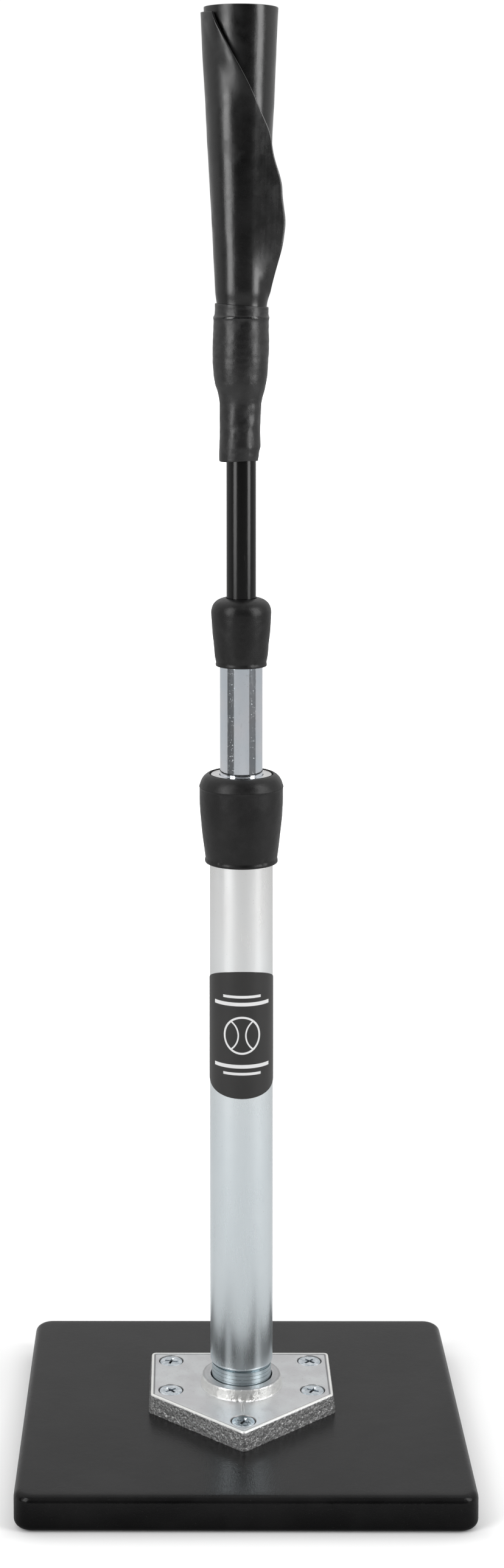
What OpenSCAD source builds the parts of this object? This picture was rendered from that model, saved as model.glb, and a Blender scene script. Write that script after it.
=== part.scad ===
// Height-adjustable batting tee: a flat base, a screwed-down pentagon flange, two round
// telescoping stages and a rolled rubber ball rest. The origin is on the floor under the tube.

/* [Base] */
// Width of the base plate
base_w = 265; // [240:1:300]
// Depth of the base plate
base_d = 243; // [220:1:280]
// Thickness of the base plate
base_h = 21; // [20:0.5:28]
// Radius of the plate's corners, seen from above
base_corner_r = 11; // [8:0.5:20]
// Rounding along the plate's top and bottom edges
base_edge_r = 4.5; // [2:0.5:6]

/* [Flange] */
// Width of the cast flange
flange_w = 111; // [104:1:120]
// Depth of the cast flange, from its back edge to its tip
flange_d = 110; // [106:1:120]
// Length of the flange's straight sides
flange_side = 59; // [54:1:64]
// Distance of the flange's back edge behind the tube's axis
flange_back = 44.5; // [42:0.5:48]
// Thickness of the flange
flange_h = 11.2; // [9:0.2:14]
// How far each side of the flange leans out towards the base
flange_draft = 1.2; // [0.4:0.1:2]
// Diameter of the round boss at its foot
boss_d = 49.6; // [48:0.2:54]
// Height of the boss above the flange
boss_h = 7; // [5:0.5:12]
// Distance of the side screws from the tube's axis, across the flange
screw_x = 43.2; // [40:0.1:44]
// Place of the back screws, behind the axis
screw_back_y = 33; // [28:0.5:34]
// Place of the middle screws, in front of the axis
screw_mid_y = -8; // [-12:0.5:-6]
// Place of the front screw, in front of the axis
screw_front_y = -49.5; // [-52:0.5:-46]
// Diameter of a screw's countersunk head
screw_head_d = 14.2; // [12:0.1:15]
// Diameter of a screw's shank
screw_d = 6; // [5:0.1:6.5]
// Length of a screw
screw_l = 26; // [18:1:28]

/* [Tubes] */
// Outer diameter of the lower tube
lower_d = 38.1; // [37.6:0.1:38.6]
// Wall of the lower tube
lower_wall = 2; // [1.8:0.1:2.2]
// Height of the lower tube's open end
lower_top = 405; // [380:1:420]
// Outer diameter of the lower tube's threaded foot
thread_d = 36.6; // [36:0.1:37]
// Height at which the thread ends
thread_top = 48.5; // [44:0.5:60]
// Outer diameter of the middle tube
middle_d = 25.8; // [25.4:0.1:26]
// Wall of the middle tube
middle_wall = 1.8; // [1.6:0.1:2]
// Length of the middle tube
middle_l = 295; // [260:1:320]
// Height of the middle tube's top end
middle_top = 508; // [504:1:512]
// Outer diameter of the upper rod
rod_d = 17.8; // [17.4:0.1:18]
// Wall of the upper rod
rod_wall = 1.5; // [1.2:0.1:2]
// Length of the upper rod
rod_l = 325; // [300:1:340]
// Height of the upper rod's top end
rod_top = 640; // [636:1:642]

/* [Caps] */
// Widest diameter of the lower cap
lower_cap_d = 51; // [49:0.5:54]
// Height at which the lower cap starts
lower_cap_z = 357; // [350:0.5:362]
// Height of the lower cap's top
lower_cap_top = 411; // [410:0.5:412]
// Widest diameter of the middle cap
middle_cap_d = 36.2; // [35:0.2:38]
// Height at which the middle cap starts
middle_cap_z = 476.4; // [470:0.2:480]
// Height of the middle cap's top
middle_cap_top = 517.5; // [516:0.5:519]

/* [Ball rest] */
// Height at which the rubber sleeve starts
sleeve_z = 599.5; // [594:0.5:602]
// Height of the rubber sleeve's top
sleeve_top = 694; // [692:0.5:696]
// Diameter of the sleeve's narrow foot
sleeve_foot_d = 25.5; // [25:0.1:26]
// Diameter of the sleeve's wide part
sleeve_d = 34.2; // [33.6:0.1:35]
// Diameter of the sleeve's rim
sleeve_rim_d = 32.8; // [32:0.1:33.4]
// Height of the ball rest's mouth
rest_top = 869; // [860:1:875]
// Outer diameter of the mouth
rest_mouth_d = 46; // [44:0.5:48]
// Total thickness of the rolled rubber
rest_wall = 4; // [3:0.5:5]
// Height of the point that the ball rest bends about
rest_bend_z = 712; // [711:1:714]

/* [Hidden] */
$fn = 96;
eps = 0.01;
fit = 0.02;        // play between pieces that are fixed together
run = 0.05;        // play of a running fit
gap = 0.3;         // room beside a piece that is free to turn
flange_top = base_h + flange_h;
boss_top = flange_top + boss_h;
screw_z = flange_top - 0.3;
screw_cone_h = (screw_head_d - screw_d) / 2;
screw_places = [
    [-screw_x, screw_back_y], [screw_x, screw_back_y],
    [-screw_x, screw_mid_y], [screw_x, screw_mid_y], [0, screw_front_y]
];
lower_r = lower_d / 2;
lower_bore_r = lower_r - lower_wall;
middle_r = middle_d / 2;
middle_bore_r = middle_r - middle_wall;
middle_foot = middle_top - middle_l;
rod_r = rod_d / 2;
rod_foot = rod_top - rod_l;
ring_inner_r = 13.2;
ring_h = 5.6;
guide_h = 22;      // height of the nylon guide in the top of a tube
glide_h = 26;
middle_glide_r = lower_bore_r - 0.25;
rod_glide_r = middle_bore_r - 0.25;
glide_lift = 6;    // distance of a glide above its tube's foot
clip_h = 1.5;
clip_depth = 0.8;  // how deep a clip sits in its groove
middle_ring_r = 1.3; // half the thickness of a friction ring
rod_ring_r = 0.65;
ring_squash = 0.15;
adapter_z = sleeve_z + 12;
adapter_top = sleeve_top - 4;
adapter_foot_r = rod_r + 1.5;
spigot_r = 10;
roll_foot_r = 14.6;
roll_foot_z = 647;
band_z = 656;
band_h = 12;
band_t = 0.8;
pin_z = 618;
pin_r = 1.5;
label_t = 0.25;
label_z = 255.5;
label_w = 98;
label_h = 77.6;
cross_w = 1.6;

// A rectangle with round corners, centred on the origin
module soft_square(w, h, r) {
    square([w - 2 * r, h], center = true);
    square([w, h - 2 * r], center = true);
    for (x = [-1, 1], y = [-1, 1])
        translate([x * (w / 2 - r), y * (h / 2 - r)]) circle(r);
}

// A ring with square edges
module ring(r_in, r_out, z, h) {
    translate([0, 0, z]) difference() {
        cylinder(r = r_out, h = h);
        translate([0, 0, -eps]) cylinder(r = r_in, h = h + 2 * eps);
    }
}

// A ring of round section, whose outside has radius r_out
module o_ring(r_out, section_r, z) {
    translate([0, 0, z]) rotate_extrude()
        translate([r_out - section_r, 0]) circle(section_r, $fn = 32);
}

// The screw holes, from below the plate's holes to above the flange
module screw_holes(r) {
    for (p = screw_places)
        translate([p[0], p[1], screw_z - screw_l - 1]) cylinder(r = r, h = screw_l + 3);
}

module base_plate() color([0.11, 0.11, 0.115]) difference() {
    translate([0, 0, base_h / 2]) {
        rotate([90, 0, 90]) linear_extrude(base_w - 2 * base_corner_r, center = true)
            soft_square(base_d, base_h, base_edge_r);
        rotate([90, 0, 0]) linear_extrude(base_d - 2 * base_corner_r, center = true)
            soft_square(base_w, base_h, base_edge_r);
        for (x = [-1, 1], y = [-1, 1])
            translate([x * (base_w / 2 - base_corner_r), y * (base_d / 2 - base_corner_r), 0])
                rotate_extrude() intersection() {
                    soft_square(2 * base_corner_r, base_h, base_edge_r);
                    translate([0, -base_h]) square([2 * base_corner_r, 2 * base_h]);
                }
    }
    screw_holes(screw_d / 2 + fit);
}

// A low disc on each corner of the flange's outline, grown or shrunk by edge
module flange_outline(z, edge) {
    corner_r = 3;
    half_w = flange_w / 2;
    side_y = flange_back - flange_side;
    places = [
        [-half_w, flange_back], [half_w, flange_back], [half_w, side_y],
        [0, flange_back - flange_d], [-half_w, side_y]
    ];
    inset = [[1, -1], [-1, -1], [-1, 0.4], [0, 1.3], [1, 0.4]];
    for (i = [0:4])
        translate([places[i][0] + corner_r * inset[i][0], places[i][1] + corner_r * inset[i][1], z])
            cylinder(r = corner_r + edge, h = eps, $fn = 24);
}

module flange() color([0.66, 0.67, 0.68]) difference() {
    union() {
        hull() {
            flange_outline(base_h, flange_draft);
            flange_outline(flange_top - 1.2, 0);
            flange_outline(flange_top - eps, -1.2);
        }
        translate([0, 0, flange_top - 1]) rotate_extrude()
            polygon([[0, 0], [boss_d / 2, 0], [boss_d / 2, 1], [boss_d / 2 - 0.7, boss_h],
                [boss_d / 2 - 1.6, boss_h + 1], [0, boss_h + 1]]);
    }
    translate([0, 0, base_h - 1]) cylinder(d = thread_d + 2 * fit, h = flange_h + boss_h + 2);
    screw_holes(screw_d / 2 + fit);
    for (p = screw_places) translate([p[0], p[1], screw_z - screw_cone_h - fit]) {
        cylinder(r1 = screw_d / 2 + fit, r2 = screw_head_d / 2 + 2 * fit, h = screw_cone_h + fit);
        translate([0, 0, screw_cone_h]) cylinder(d = screw_head_d + 4 * fit, h = 2);
    }
}

module flange_screws() color([0.75, 0.76, 0.78]) for (p = screw_places)
    translate([p[0], p[1], screw_z]) difference() {
        union() {
            translate([0, 0, -screw_cone_h])
                cylinder(r1 = screw_d / 2, r2 = screw_head_d / 2, h = screw_cone_h);
            translate([0, 0, -screw_l]) cylinder(d = screw_d, h = screw_l - screw_cone_h + eps);
        }
        for (turn = [0, 90]) rotate(turn) translate([0, 0, -1])
            cube([screw_head_d * 0.5, cross_w, 3.6], center = true);
    }

module lower_tube() color([0.76, 0.79, 0.8]) rotate_extrude() polygon([
    [lower_bore_r, base_h + 0.5], [thread_d / 2, base_h + 0.5], [thread_d / 2, thread_top - 1],
    [lower_r, thread_top], [lower_r, lower_top], [lower_bore_r, lower_top]
]);

// A thin film that wraps most of the way round the lower tube, its middle at the front
module tube_label() color([0.23, 0.23, 0.235]) {
    half_turn = label_w / 2 / lower_r * 180 / PI;
    translate([0, 0, label_z - label_h / 2]) rotate(-90 - half_turn)
        rotate_extrude(angle = 2 * half_turn)
            translate([lower_r + fit, 0]) square([label_t, label_h]);
}

module lower_guide() color([0.85, 0.85, 0.82])
    ring(middle_r + run, lower_bore_r - fit, lower_top - guide_h, guide_h);

module lower_ring() color([0.72, 0.74, 0.76]) ring(ring_inner_r, lower_r, lower_top, ring_h);

module lower_cap() color([0.07, 0.07, 0.075]) {
    r = lower_cap_d / 2;
    z = lower_cap_z;
    top = lower_cap_top;
    rotate_extrude() polygon([
        [lower_r + 0.1, z], [r - 3.8, z], [r - 3.5, z + 1.5], [r - 3.3, z + 5], [r - 2.3, z + 13],
        [r - 1.6, z + 20], [r - 0.9, z + 28], [r - 0.4, z + 34], [r - 0.3, z + 43],
        [r, z + 44.5], [r, z + 46.5], [r - 0.5, z + 47.5], [r - 1.5, top - 3],
        [r - 3.4, top - 1], [r - 5.4, top], [lower_r + 0.1, top]
    ]);
}

// The groove that a clip sits in, cut into a shaft of radius r
module clip_grooves(r, low) {
    for (z = [low - gap - clip_h, low + glide_h + gap])
        ring(r - clip_depth, r + 1, z - fit, clip_h + 2 * fit);
}

module clips(r, low) {
    for (z = [low - gap - clip_h, low + glide_h + gap]) translate([0, 0, z]) rotate(15)
        rotate_extrude(angle = 330) translate([r - clip_depth + fit, 0]) square([2.1, clip_h]);
}

// A plain bush with two round grooves, which carries the friction rings
module glide(r_in, r_out, section_r, z) {
    groove_h = 2 * section_r + 0.4;
    groove_r = r_out + ring_squash + fit - 2 * section_r;
    difference() {
        ring(r_in, r_out, z, glide_h);
        for (k = [1, 2])
            ring(groove_r, r_out + 1, z + k * glide_h / 3 - groove_h / 2, groove_h);
    }
}

module friction_rings(r_out, section_r, z) {
    for (k = [1, 2]) o_ring(r_out + ring_squash + 2 * fit, section_r, z + k * glide_h / 3);
}

module middle_glide() color([0.86, 0.86, 0.83])
    glide(middle_r + run, middle_glide_r, middle_ring_r, middle_foot + glide_lift);

module middle_friction_rings() color([0.08, 0.08, 0.08])
    friction_rings(middle_glide_r, middle_ring_r, middle_foot + glide_lift);

module middle_tube() color([0.8, 0.82, 0.85]) difference() {
    ring(middle_bore_r, middle_r, middle_foot, middle_l);
    clip_grooves(middle_r, middle_foot + glide_lift);
}

module middle_clips() color([0.3, 0.3, 0.32]) clips(middle_r, middle_foot + glide_lift);

module middle_guide() color([0.85, 0.85, 0.82])
    ring(rod_r + run, middle_bore_r - fit, middle_top - guide_h, guide_h);

module middle_cap() color([0.07, 0.07, 0.075]) {
    r = middle_cap_d / 2;
    z = middle_cap_z;
    top = middle_cap_top;
    rotate_extrude() polygon([
        [middle_r + fit, z], [r - 2.5, z], [r - 2.8, z + 1.5], [r - 2.2, z + 5],
        [r - 1.65, z + 12], [r - 0.75, z + 19.5], [r - 0.15, z + 29], [r, z + 33],
        [r - 0.8, top - 4.6], [r - 2.6, top - 2.4], [r - 5.2, top - 0.7], [r - 7.6, top],
        [rod_r + gap, top], [rod_r + gap, middle_top + fit], [middle_r + fit, middle_top + fit]
    ]);
}

module rod_glide() color([0.86, 0.86, 0.83])
    glide(rod_r + run, rod_glide_r, rod_ring_r, rod_foot + glide_lift);

module rod_friction_rings() color([0.08, 0.08, 0.08])
    friction_rings(rod_glide_r, rod_ring_r, rod_foot + glide_lift);

module rod() color([0.06, 0.06, 0.065]) difference() {
    ring(rod_r - rod_wall, rod_r, rod_foot, rod_l);
    clip_grooves(rod_r, rod_foot + glide_lift);
    translate([0, 0, pin_z]) rotate([0, 90, 0])
        cylinder(r = pin_r + fit, h = 3 * rod_r, center = true);
}

module rod_clips() color([0.3, 0.3, 0.32]) clips(rod_r, rod_foot + glide_lift);

module rest_adapter() color([0.16, 0.16, 0.17]) difference() {
    rotate_extrude() polygon([
        [0, adapter_z], [adapter_foot_r, adapter_z], [adapter_foot_r, roll_foot_z - 8],
        [roll_foot_r, roll_foot_z - 2], [roll_foot_r, roll_foot_z - fit],
        [spigot_r, roll_foot_z - fit], [spigot_r, adapter_top - 1], [spigot_r - 1, adapter_top],
        [0, adapter_top]
    ]);
    translate([0, 0, adapter_z - 1]) cylinder(r = rod_r + fit, h = rod_top - adapter_z + 1 + fit);
    translate([0, 0, pin_z]) rotate([0, 90, 0])
        cylinder(r = pin_r + fit, h = 3 * adapter_foot_r, center = true);
}

module rest_pin() color([0.55, 0.56, 0.58]) translate([0, 0, pin_z]) rotate([0, 90, 0])
    cylinder(r = pin_r, h = 2 * adapter_foot_r - 0.4, center = true);

module rest_roll_foot() color([0.05, 0.05, 0.05])
    ring(spigot_r + fit, roll_foot_r, roll_foot_z, sleeve_top - roll_foot_z);

module rest_clamp_band() color([0.6, 0.61, 0.62])
    ring(roll_foot_r + fit, roll_foot_r + band_t, band_z, band_h);

module rest_sleeve() color([0.1, 0.1, 0.105]) {
    inner_foot_r = adapter_foot_r + fit;
    inner_r = roll_foot_r + band_t + fit;
    r = sleeve_d / 2;
    foot_r = sleeve_foot_d / 2;
    rotate_extrude() polygon([
        [inner_foot_r, sleeve_z], [foot_r, sleeve_z], [foot_r, sleeve_z + 34],
        [foot_r + 0.5, sleeve_z + 38], [r - 1.3, sleeve_z + 44], [r, sleeve_z + 49],
        [r, sleeve_top - 15], [r - 0.5, sleeve_top - 10], [sleeve_rim_d / 2, sleeve_top - 5],
        [sleeve_rim_d / 2, sleeve_top], [inner_r, sleeve_top], [inner_r, roll_foot_z - 1],
        [inner_foot_r, roll_foot_z - 8 - 1.4]
    ]);
}

// One thick-walled cone for the rolled sheet, with the loose edge's bulge on its +X side.
// Below the bend it is cut to a ball, so that it can tip without meeting the sleeve.
module rest_roll() color([0.05, 0.05, 0.05]) {
    foot_r = 15.8;
    mouth_r = rest_mouth_d / 2;
    ball_r = rest_bend_z - sleeve_top - gap;
    bulge_x = 5;
    difference() {
        union() {
            translate([0, 0, rest_bend_z]) cylinder(
                r1 = foot_r + 1, r2 = mouth_r, h = rest_top - rest_bend_z);
            translate([0, 0, rest_bend_z]) intersection() {
                sphere(ball_r);
                translate([0, 0, -ball_r]) cylinder(r = foot_r + 1, h = ball_r + 2);
            }
            translate([bulge_x, 0, rest_bend_z]) cylinder(r1 = 16, r2 = 20.4, h = 24);
            translate([bulge_x, 0, rest_bend_z + 24]) cylinder(r1 = 20.4, r2 = 20, h = 26);
            translate([bulge_x, 0, rest_bend_z + 50]) cylinder(r1 = 20, r2 = 15, h = 40);
        }
        translate([0, 0, sleeve_top - 1]) cylinder(
            r1 = foot_r - rest_wall, r2 = mouth_r - rest_wall, h = rest_top - sleeve_top + 1 + eps);
    }
}

base_plate();
flange();
flange_screws();
lower_tube();
tube_label();
lower_guide();
lower_ring();
lower_cap();
middle_glide();
middle_friction_rings();
middle_tube();
middle_clips();
middle_guide();
middle_cap();
rod_glide();
rod_friction_rings();
rod();
rod_clips();
rest_adapter();
rest_pin();
rest_roll_foot();
rest_clamp_band();
rest_sleeve();
rest_roll();
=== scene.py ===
import math

import bmesh
import bpy
from mathutils import Matrix, Vector, noise


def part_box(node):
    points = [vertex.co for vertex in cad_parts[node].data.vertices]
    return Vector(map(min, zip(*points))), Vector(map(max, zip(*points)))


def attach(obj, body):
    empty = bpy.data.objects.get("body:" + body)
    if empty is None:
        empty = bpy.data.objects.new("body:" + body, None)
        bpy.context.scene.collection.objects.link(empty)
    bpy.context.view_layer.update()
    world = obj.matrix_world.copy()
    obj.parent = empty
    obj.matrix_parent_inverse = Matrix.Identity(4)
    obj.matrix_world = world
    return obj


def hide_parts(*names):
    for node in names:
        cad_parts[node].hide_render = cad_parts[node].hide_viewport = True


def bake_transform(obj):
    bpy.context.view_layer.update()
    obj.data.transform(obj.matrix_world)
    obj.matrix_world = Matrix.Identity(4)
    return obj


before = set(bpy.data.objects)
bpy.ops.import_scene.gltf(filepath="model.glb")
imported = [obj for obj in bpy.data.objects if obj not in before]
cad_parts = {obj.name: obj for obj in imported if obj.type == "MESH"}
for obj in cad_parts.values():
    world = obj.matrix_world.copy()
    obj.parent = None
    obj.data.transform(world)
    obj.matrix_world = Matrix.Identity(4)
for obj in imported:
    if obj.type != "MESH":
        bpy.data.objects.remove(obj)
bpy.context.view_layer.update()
mm = 0.001
print("frame loaded,", len(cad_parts), "nodes")


def addObject(name, data):
    thing = bpy.data.objects.new(name, data)
    bpy.context.scene.collection.objects.link(thing)
    return thing


cameraSet = {
    "place": (-0.0336, -1.5125, 0.7209),
    "pitchDown": 3.93, "turn": 0.41, "roll": -0.13,  # degrees
    "lens": 58.25,
    "shift": (0.0543, -0.2243),
    "farthest": 50,
}


def makeCamera(s):
    data = bpy.data.cameras.new("camera")
    data.lens = s["lens"]
    data.shift_x, data.shift_y = s["shift"]
    data.clip_end = s["farthest"]
    camera = addObject("camera", data)
    aim = Matrix.Rotation(math.radians(s["turn"]), 4, "Z")
    aim = aim @ Matrix.Rotation(math.radians(90 - s["pitchDown"]), 4, "X")
    aim = aim @ Matrix.Rotation(math.radians(s["roll"]), 4, "Z")
    camera.matrix_world = Matrix.Translation(s["place"]) @ aim
    bpy.context.scene.camera = camera


makeCamera(cameraSet)


class Wire:
    def __init__(self, tree, socket=None):
        self.tree = tree
        self.socket = socket

    def make(self, kind, settings=None, links=None, out=0):
        node = self.tree.nodes.new(kind)
        for key, value in (settings or {}).items():
            setattr(node, key, value)
        for key, value in (links or {}).items():
            if isinstance(value, Wire):
                self.tree.links.new(value.socket, node.inputs[key])
            else:
                node.inputs[key].default_value = value
        return Wire(self.tree, node.outputs[out])

    def maths(self, operation, *others):  # the wire itself comes first
        return self.make("ShaderNodeMath", {"operation": operation}, dict(enumerate((self, *others))))

    def __add__(self, other):
        return self.maths("ADD", other)

    def __sub__(self, other):
        return self.maths("SUBTRACT", other)

    def __rsub__(self, other):
        return self.make("ShaderNodeMath", {"operation": "SUBTRACT"}, {0: other, 1: self})

    def __mul__(self, other):
        return self.maths("MULTIPLY", other)

    def __truediv__(self, other):
        return self.maths("DIVIDE", other)

    def __pow__(self, other):
        return self.maths("POWER", other)

    __radd__ = __add__
    __rmul__ = __mul__

    def step(self, low, high, start=0.0, end=1.0):  # smooth change between two values
        settings = {"interpolation_type": "SMOOTHSTEP"}
        links = {"Value": self, "From Min": low, "From Max": high, "To Min": start, "To Max": end}
        return self.make("ShaderNodeMapRange", settings, links)


def clamped(wire):  # kept between 0 and 1
    return wire.maths("MAXIMUM", 0.0).maths("MINIMUM", 1.0)


def grey(value, tint=(1, 1, 1)):
    return (value * tint[0], value * tint[1], value * tint[2], 1)


def mixColors(factor, a, b):
    return factor.make("ShaderNodeMix", {"data_type": "RGBA"}, {0: factor, 6: a, 7: b}, 2)


def newMaterial(name):
    material = bpy.data.materials.new(name)
    material.use_nodes = True
    return material, Wire(material.node_tree)


def setShader(material, values):
    shader = material.node_tree.nodes["Principled BSDF"]
    for key, value in values.items():
        if isinstance(value, Wire):
            material.node_tree.links.new(value.socket, shader.inputs[key])
        else:
            shader.inputs[key].default_value = value
    return material


def objectCoords(w):
    return w.make("ShaderNodeTexCoord", out="Object")


def axisOf(vector, axis):
    return vector.make("ShaderNodeSeparateXYZ", None, {0: vector}, axis)


def placeOn(w, axis):  # in metres
    return axisOf(objectCoords(w), axis)


def combined(w, **axes):
    return w.make("ShaderNodeCombineXYZ", None, axes)


def grain(w, size, detail=3.0, stretch=None):  # noise with patches of that size in mm
    coords = objectCoords(w)
    if stretch:
        coords = w.make("ShaderNodeMapping", None, {"Vector": coords, "Scale": stretch})
    links = {"Vector": coords, "Scale": 1 / (size * mm), "Detail": detail, "Roughness": 0.55}
    return w.make("ShaderNodeTexNoise", None, links)


def finished(material, color, roughness, height, depth, specular=0.5, metal=0.0):
    # depth is the bump's in mm
    bump = height.make("ShaderNodeBump", None, {"Height": height, "Distance": depth * mm})
    return setShader(material, {"Base Color": color, "Roughness": roughness, "Metallic": metal,
                                "Specular IOR Level": specular, "Normal": bump})


def rollRubber():
    material, w = newMaterial("rolledRubber")
    dustAndSheen = grain(w, 16, 5).step(0.52, 0.78)
    speck = grain(w, 1.4, 2).step(0.66, 0.74)
    lines = grain(w, 2.2, 3, (1, 1, 0.06))
    # The dust patches gather on the upper left of the roll; their lighter bluish colour there is partly
    # dust and partly painted sheen.
    left = placeOn(w, "X").step(-0.002, 0.006, 1.0, 0.0)
    high = placeOn(w, "Z").step(0.775, 0.82)
    dustAndSheen = dustAndSheen * (0.5 + 0.5 * left) + 0.5 * left * high * grain(w, 12, 5).step(0.3, 0.6)
    color = mixColors(dustAndSheen * 0.4 + speck * 0.15, grey(0.0006), grey(0.009, (0.95, 1, 1.08)))
    height = lines * 0.35 + grain(w, 5, 3) * 0.5 + grain(w, 0.35, 2) * 0.12
    return finished(material, color, 0.19 + 0.14 * grain(w, 7, 5) + 0.2 * dustAndSheen,
                    height, 0.12, specular=0.66)


def sleeveRubber():
    material, w = newMaterial("sleeveRubber")
    scuff = grain(w, 7, 5).step(0.45, 0.75)
    color = mixColors(scuff, grey(0.005, (1, 0.98, 1.03)), grey(0.013, (1, 0.99, 1.02)))
    rings = grain(w, 3, 3, (0.12, 0.12, 1))
    height = grain(w, 3.5, 3) * 0.5 + rings * 0.12 + grain(w, 0.5, 2) * 0.12
    z = placeOn(w, "Z") / mm
    crest = z.step(684.6, 685.4) * z.step(685.8, 686.8, 1.0, 0.0)  # the polished ridge
    return finished(material, color, 0.35 + 0.14 * scuff - 0.18 * crest, height, 0.28, specular=0.58)


def capRubber():
    material, w = newMaterial("capRubber")
    bloom = grain(w, 11, 5).step(0.42, 0.72)
    color = mixColors(bloom, grey(0.004, (1, 0.97, 1)), grey(0.01, (1, 0.97, 1)))
    height = grain(w, 0.7, 3) * 0.4 + grain(w, 4, 3) * 0.6
    return finished(material, color, 0.36 + 0.14 * bloom, height, 0.14, specular=0.36)


def rodBlack():
    material, w = newMaterial("rodBlack")
    wear = grain(w, 1.6, 4, (1, 1, 0.12)).step(0.62, 0.8)
    color = mixColors(wear, grey(0.0025), grey(0.01))
    return finished(material, color, 0.2 + 0.16 * wear,
                    grain(w, 1.2, 3, (1, 1, 0.2)), 0.02, specular=0.36)


def zincPlate():
    material, w = newMaterial("zincPlate")
    cloud = grain(w, 26, 3, (1, 1, 0.5)).step(0.25, 0.8)
    drawn = grain(w, 0.8, 3, (1, 1, 0.03))
    speck = grain(w, 0.9, 2).step(0.68, 0.76)
    # The lower part of the tube is painted darker and bluer: a painted reflection of the dark base and
    # the dimmer floor.
    high = placeOn(w, "Z").step(0.17, 0.34)
    foot = mixColors(cloud, grey(0.8, (0.92, 1, 1.04)), grey(0.86, (0.93, 1, 1.03)))
    crown = mixColors(cloud, grey(0.94, (1, 1, 0.99)), grey(0.97, (0.99, 1, 1)))
    color = mixColors(high, foot, crown)
    color = mixColors(speck * 0.3, color, grey(0.4))
    return finished(material, color, 0.22 + 0.09 * cloud + 0.06 * drawn,
                    drawn * 0.6 + grain(w, 6, 3) * 0.4, 0.03, metal=1.0)


def brightPlate():
    material, w = newMaterial("brightPlate")
    pits = grain(w, 0.8, 3).step(0.64, 0.74)
    scuff = grain(w, 3.5, 5, (1, 1, 0.35)).step(0.62, 0.74)
    plate = mixColors(grain(w, 18, 2), grey(0.88, (0.84, 0.97, 1.07)), grey(0.95, (1, 0.98, 1.01)))
    color = mixColors(pits * 0.4 + scuff * 0.15, plate, grey(0.5))
    return finished(material, color, 0.07 + 0.2 * pits + 0.1 * scuff + 0.04 * grain(w, 8, 3),
                    pits * 0.4 + scuff * 0.3 + grain(w, 4, 2) * 0.5, 0.03, metal=1.0)


def castZinc():
    material, w = newMaterial("castZinc")
    side = w.make("ShaderNodeAttribute", {"attribute_name": "castSide"}, out="Fac")
    paintedShadeAndHighlight = w.make("ShaderNodeAttribute", {"attribute_name": "paintedShadeAndHighlight"}, out="Fac")
    pebble = w.make("ShaderNodeTexVoronoi", {"feature": "SMOOTH_F1"}, {
        "Vector": objectCoords(w), "Scale": 560, "Smoothness": 0.4}, "Distance")
    cloud = grain(w, 12, 6).step(0.35, 0.7)
    top = mixColors(cloud, grey(0.55, (1, 1, 1.02)), grey(0.63, (0.98, 1, 1.01)))
    top = mixColors(grain(w, 1.6, 3).step(0.58, 0.7) * 0.35, top, grey(0.4, (0.97, 1, 0.98)))
    glint = grain(w, 1.3, 4).step(0.42, 0.68) * (1 - 0.5 * pebble.step(0.1, 0.5))
    flank = mixColors(glint, grey(0.24), grey(0.78))
    color = mixColors(side.step(0.5, 1.0), top, flank)
    # Where the per-vertex value is negative: a painted highlight in light cream on the rim bead and the
    # boss flank.
    color = mixColors((0 - paintedShadeAndHighlight).step(0.2, 1.0), color, grey(0.84, (1, 1, 0.97)))
    height = side * (pebble * 0.4 + grain(w, 1.0, 4) * 1.1) + (1 - side) * (
        grain(w, 0.9, 3) * 0.26 + grain(w, 5, 3) * 0.3)
    # Where it is positive: painted shade, near black, in the rim groove, the bore and the screw
    # pockets.
    return finished(material, mixColors(paintedShadeAndHighlight, color, grey(0.07)), 0.38 + 0.1 * cloud - 0.08 * side,
                    height, 0.42, metal=0.95 - 0.25 * side)


def screwZinc():
    material, w = newMaterial("screwZinc")
    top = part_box("flange_screws")[1].z / mm
    z = placeOn(w, "Z") / mm
    # Painted shade, near black, deep in the cross recess and below the head, fading towards the head's
    # top.
    paintedRecessShade = z.step(top - 1.9, top - 0.25, 1.0, 0.0)
    cloud = grain(w, 2.5, 4).step(0.35, 0.7)
    color = mixColors(cloud, grey(0.5, (0.9, 1, 1.08)), grey(0.74, (0.94, 1, 1.05)))
    return finished(material, mixColors(paintedRecessShade, color, grey(0.03, (0.8, 1, 1.2))),
                    0.18 + 0.14 * cloud + 0.3 * paintedRecessShade, grain(w, 0.8, 3), 0.08, metal=1.0)


def threadZinc():
    material, w = newMaterial("threadZinc")
    x, y = placeOn(w, "X"), placeOn(w, "Y")
    # The thread roots are painted dark and bluish: painted shade between the turns.
    rootShade = (((x * x + y * y) ** 0.5) / mm).step(17.6, 18.3, 1.0, 0.0)
    color = mixColors(rootShade, grey(0.82, (0.88, 1, 1.05)), grey(0.14, (0.75, 1, 1.08)))
    return finished(material, color, 0.24 + 0.14 * grain(w, 2, 3), grain(w, 0.6, 3), 0.04, metal=1.0)


def turnedSteel(name, value, roughness):
    material, w = newMaterial(name)
    turned = grain(w, 0.25, 2, (0.1, 0.1, 1))
    cloud = grain(w, 5, 4).step(0.35, 0.7)
    return finished(material, mixColors(cloud, grey(value), grey(value * 0.85)),
                    roughness + 0.1 * cloud, turned, 0.03, metal=1.0)


def mouldedPlastic(name, color, roughness, size=1.2):
    material, w = newMaterial(name)
    cloud = grain(w, 9, 4).step(0.35, 0.7)
    darker = tuple(0.8 * c for c in color[:3]) + (1,)
    return finished(material, mixColors(cloud, color, darker), roughness + 0.1 * cloud,
                    grain(w, size, 3), 0.05)


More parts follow.
